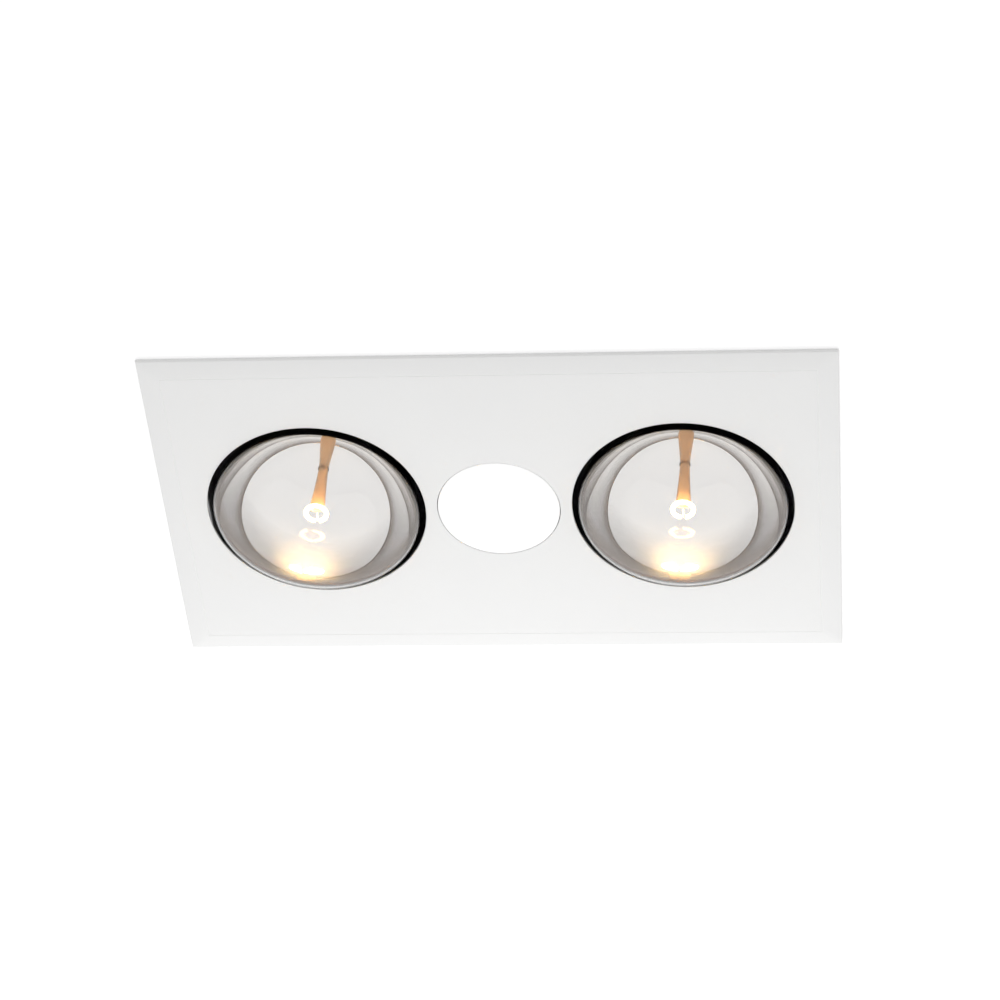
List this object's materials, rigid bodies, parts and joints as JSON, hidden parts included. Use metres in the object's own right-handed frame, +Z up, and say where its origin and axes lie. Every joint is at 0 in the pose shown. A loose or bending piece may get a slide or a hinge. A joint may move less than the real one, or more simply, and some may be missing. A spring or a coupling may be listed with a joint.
{
  "type": "bathroom ceiling heater",
  "caption": "Recessed bathroom ceiling heater with reflector heat lamps, a flush round light and a ducted exhaust fan behind a flat white fascia.",
  "frame": {"origin": "centre of the ceiling cut-out, on the underside of the ceiling", "axes": "+X along the fascia from the left lamp to the right lamp, +Y towards the duct outlet, +Z up into the ceiling"},
  "size_m": [0.406, 0.2776, 0.2335],
  "materials": {
    "satin_white": "satin white moulded fascia",
    "opal_diffuser": "opal white diffuser",
    "galvanised_steel": "zinc coated sheet steel",
    "spring_steel": "plated steel",
    "aluminium": "plain die cast aluminium",
    "lamp_glass": "clear front, silvered reflector inside",
    "stem_glass": "warm stem glass",
    "tungsten": "glowing filament",
    "nickel": "nickel plated screw cap",
    "black_glaze": "black insulator with a tinned contact",
    "ceramic": "white lampholder ceramic",
    "brass": "bright brass",
    "circuit_board": "white solder mask",
    "grey_plastic": "grey moulded plastic",
    "black_plastic": "black moulded plastic",
    "pale_plastic": "pale moulded plastic",
    "laminations": "stacked steel laminations",
    "copper_winding": "enamelled copper winding",
    "bronze": "sintered bronze",
    "black_rubber": "black rubber grommet"
  },
  "bodies": {
    "housing": {"housing": "galvanised_steel", "led_lens": "opal_diffuser", "led_board": "circuit_board", "led_heat_sink": "aluminium", "led_bracket": "galvanised_steel", "led_driver": "pale_plastic", "fan_scroll": "grey_plastic", "fan_inlet_plate": "grey_plastic", "fan_bracket": "galvanised_steel", "motor_can": "galvanised_steel", "motor_stator": "laminations", "motor_coil_lower": "copper_winding", "motor_coil_upper": "copper_winding", "motor_bush_lower": "bronze", "motor_bush_upper": "bronze", "motor_screw_1": "spring_steel", "motor_screw_2": "spring_steel", "outlet_spigot": "grey_plastic", "flap_pin": "spring_steel", "terminal_base": "pale_plastic", "terminal_cover": "pale_plastic", "terminal_block": "black_plastic", "cable_grommet": "black_rubber", "terminal_cover_screw": "spring_steel", "lampholder_body_left": "ceramic", "lampholder_sleeve_left": "brass", "lampholder_contact_left": "brass", "lampholder_bracket_left": "galvanised_steel", "lampholder_body_right": "ceramic", "lampholder_sleeve_right": "brass", "lampholder_contact_right": "brass", "lampholder_bracket_right": "galvanised_steel", "fascia_clip_1": "spring_steel", "fascia_clip_2": "spring_steel", "fascia_clip_3": "spring_steel", "fascia_clip_4": "spring_steel"},
    "fascia": {"fascia": "satin_white"},
    "lamp_left": {"lamp_glass_left": "lamp_glass", "lamp_stem_left": "stem_glass", "lamp_filament_left": "tungsten", "lamp_cap_left": "nickel", "lamp_contact_left": "black_glaze"},
    "lamp_right": {"lamp_glass_right": "lamp_glass", "lamp_stem_right": "stem_glass", "lamp_filament_right": "tungsten", "lamp_cap_right": "nickel", "lamp_contact_right": "black_glaze"},
    "impeller": {"fan_impeller": "black_plastic", "fan_disc": "black_plastic", "motor_shaft": "spring_steel", "motor_rotor": "laminations"},
    "flap": {"outlet_flap": "black_plastic"},
    "clamp_screw_1": {"clamp_screw_1": "spring_steel"},
    "clamp_wing_1": {"clamp_wing_1": "galvanised_steel"},
    "clamp_screw_2": {"clamp_screw_2": "spring_steel"},
    "clamp_wing_2": {"clamp_wing_2": "galvanised_steel"},
    "clamp_screw_3": {"clamp_screw_3": "spring_steel"},
    "clamp_wing_3": {"clamp_wing_3": "galvanised_steel"},
    "clamp_screw_4": {"clamp_screw_4": "spring_steel"},
    "clamp_wing_4": {"clamp_wing_4": "galvanised_steel"}
  },
  "joints": [
    {"name": "fascia_slide", "type": "slide", "parent": "housing", "child": "fascia", "axis": [0, 0, -1], "range_m": [0, 0.02]},
    {"name": "lamp_left_turn", "type": "hinge", "parent": "housing", "child": "lamp_left", "pos_m": [-0.11, 0, 0], "axis": [0, 0, -1], "range_deg": [0, 1620]},
    {"name": "lamp_right_turn", "type": "hinge", "parent": "housing", "child": "lamp_right", "pos_m": [0.11, 0, 0], "axis": [0, 0, -1], "range_deg": [0, 1620]},
    {"name": "fan_spin", "type": "hinge", "parent": "housing", "child": "impeller", "pos_m": [0, 0, 0.1], "axis": [0, 0, 1], "continuous": true},
    {"name": "flap_swing", "type": "hinge", "parent": "housing", "child": "flap", "pos_m": [0.052, 0.1023, 0.1382], "axis": [1, 0, 0], "range_deg": [0, 80]},
    {"name": "clamp_turn_1", "type": "hinge", "parent": "housing", "child": "clamp_screw_1", "pos_m": [0.1825, 0.062, 0.02], "axis": [0, 0, 1], "range_deg": [-90, 0]},
    {"name": "clamp_travel_1", "type": "slide", "parent": "clamp_screw_1", "child": "clamp_wing_1", "axis": [0, 0, 1], "range_m": [-0.006, 0.024]},
    {"name": "clamp_turn_2", "type": "hinge", "parent": "housing", "child": "clamp_screw_2", "pos_m": [-0.1825, 0.062, 0.02], "axis": [0, 0, 1], "range_deg": [-90, 0]},
    {"name": "clamp_travel_2", "type": "slide", "parent": "clamp_screw_2", "child": "clamp_wing_2", "axis": [0, 0, 1], "range_m": [-0.006, 0.024]},
    {"name": "clamp_turn_3", "type": "hinge", "parent": "housing", "child": "clamp_screw_3", "pos_m": [-0.1825, -0.062, 0.02], "axis": [0, 0, 1], "range_deg": [-90, 0]},
    {"name": "clamp_travel_3", "type": "slide", "parent": "clamp_screw_3", "child": "clamp_wing_3", "axis": [0, 0, 1], "range_m": [-0.006, 0.024]},
    {"name": "clamp_turn_4", "type": "hinge", "parent": "housing", "child": "clamp_screw_4", "pos_m": [0.1825, -0.062, 0.02], "axis": [0, 0, 1], "range_deg": [-90, 0]},
    {"name": "clamp_travel_4", "type": "slide", "parent": "clamp_screw_4", "child": "clamp_wing_4", "axis": [0, 0, 1], "range_m": [-0.006, 0.024]}
  ]
}
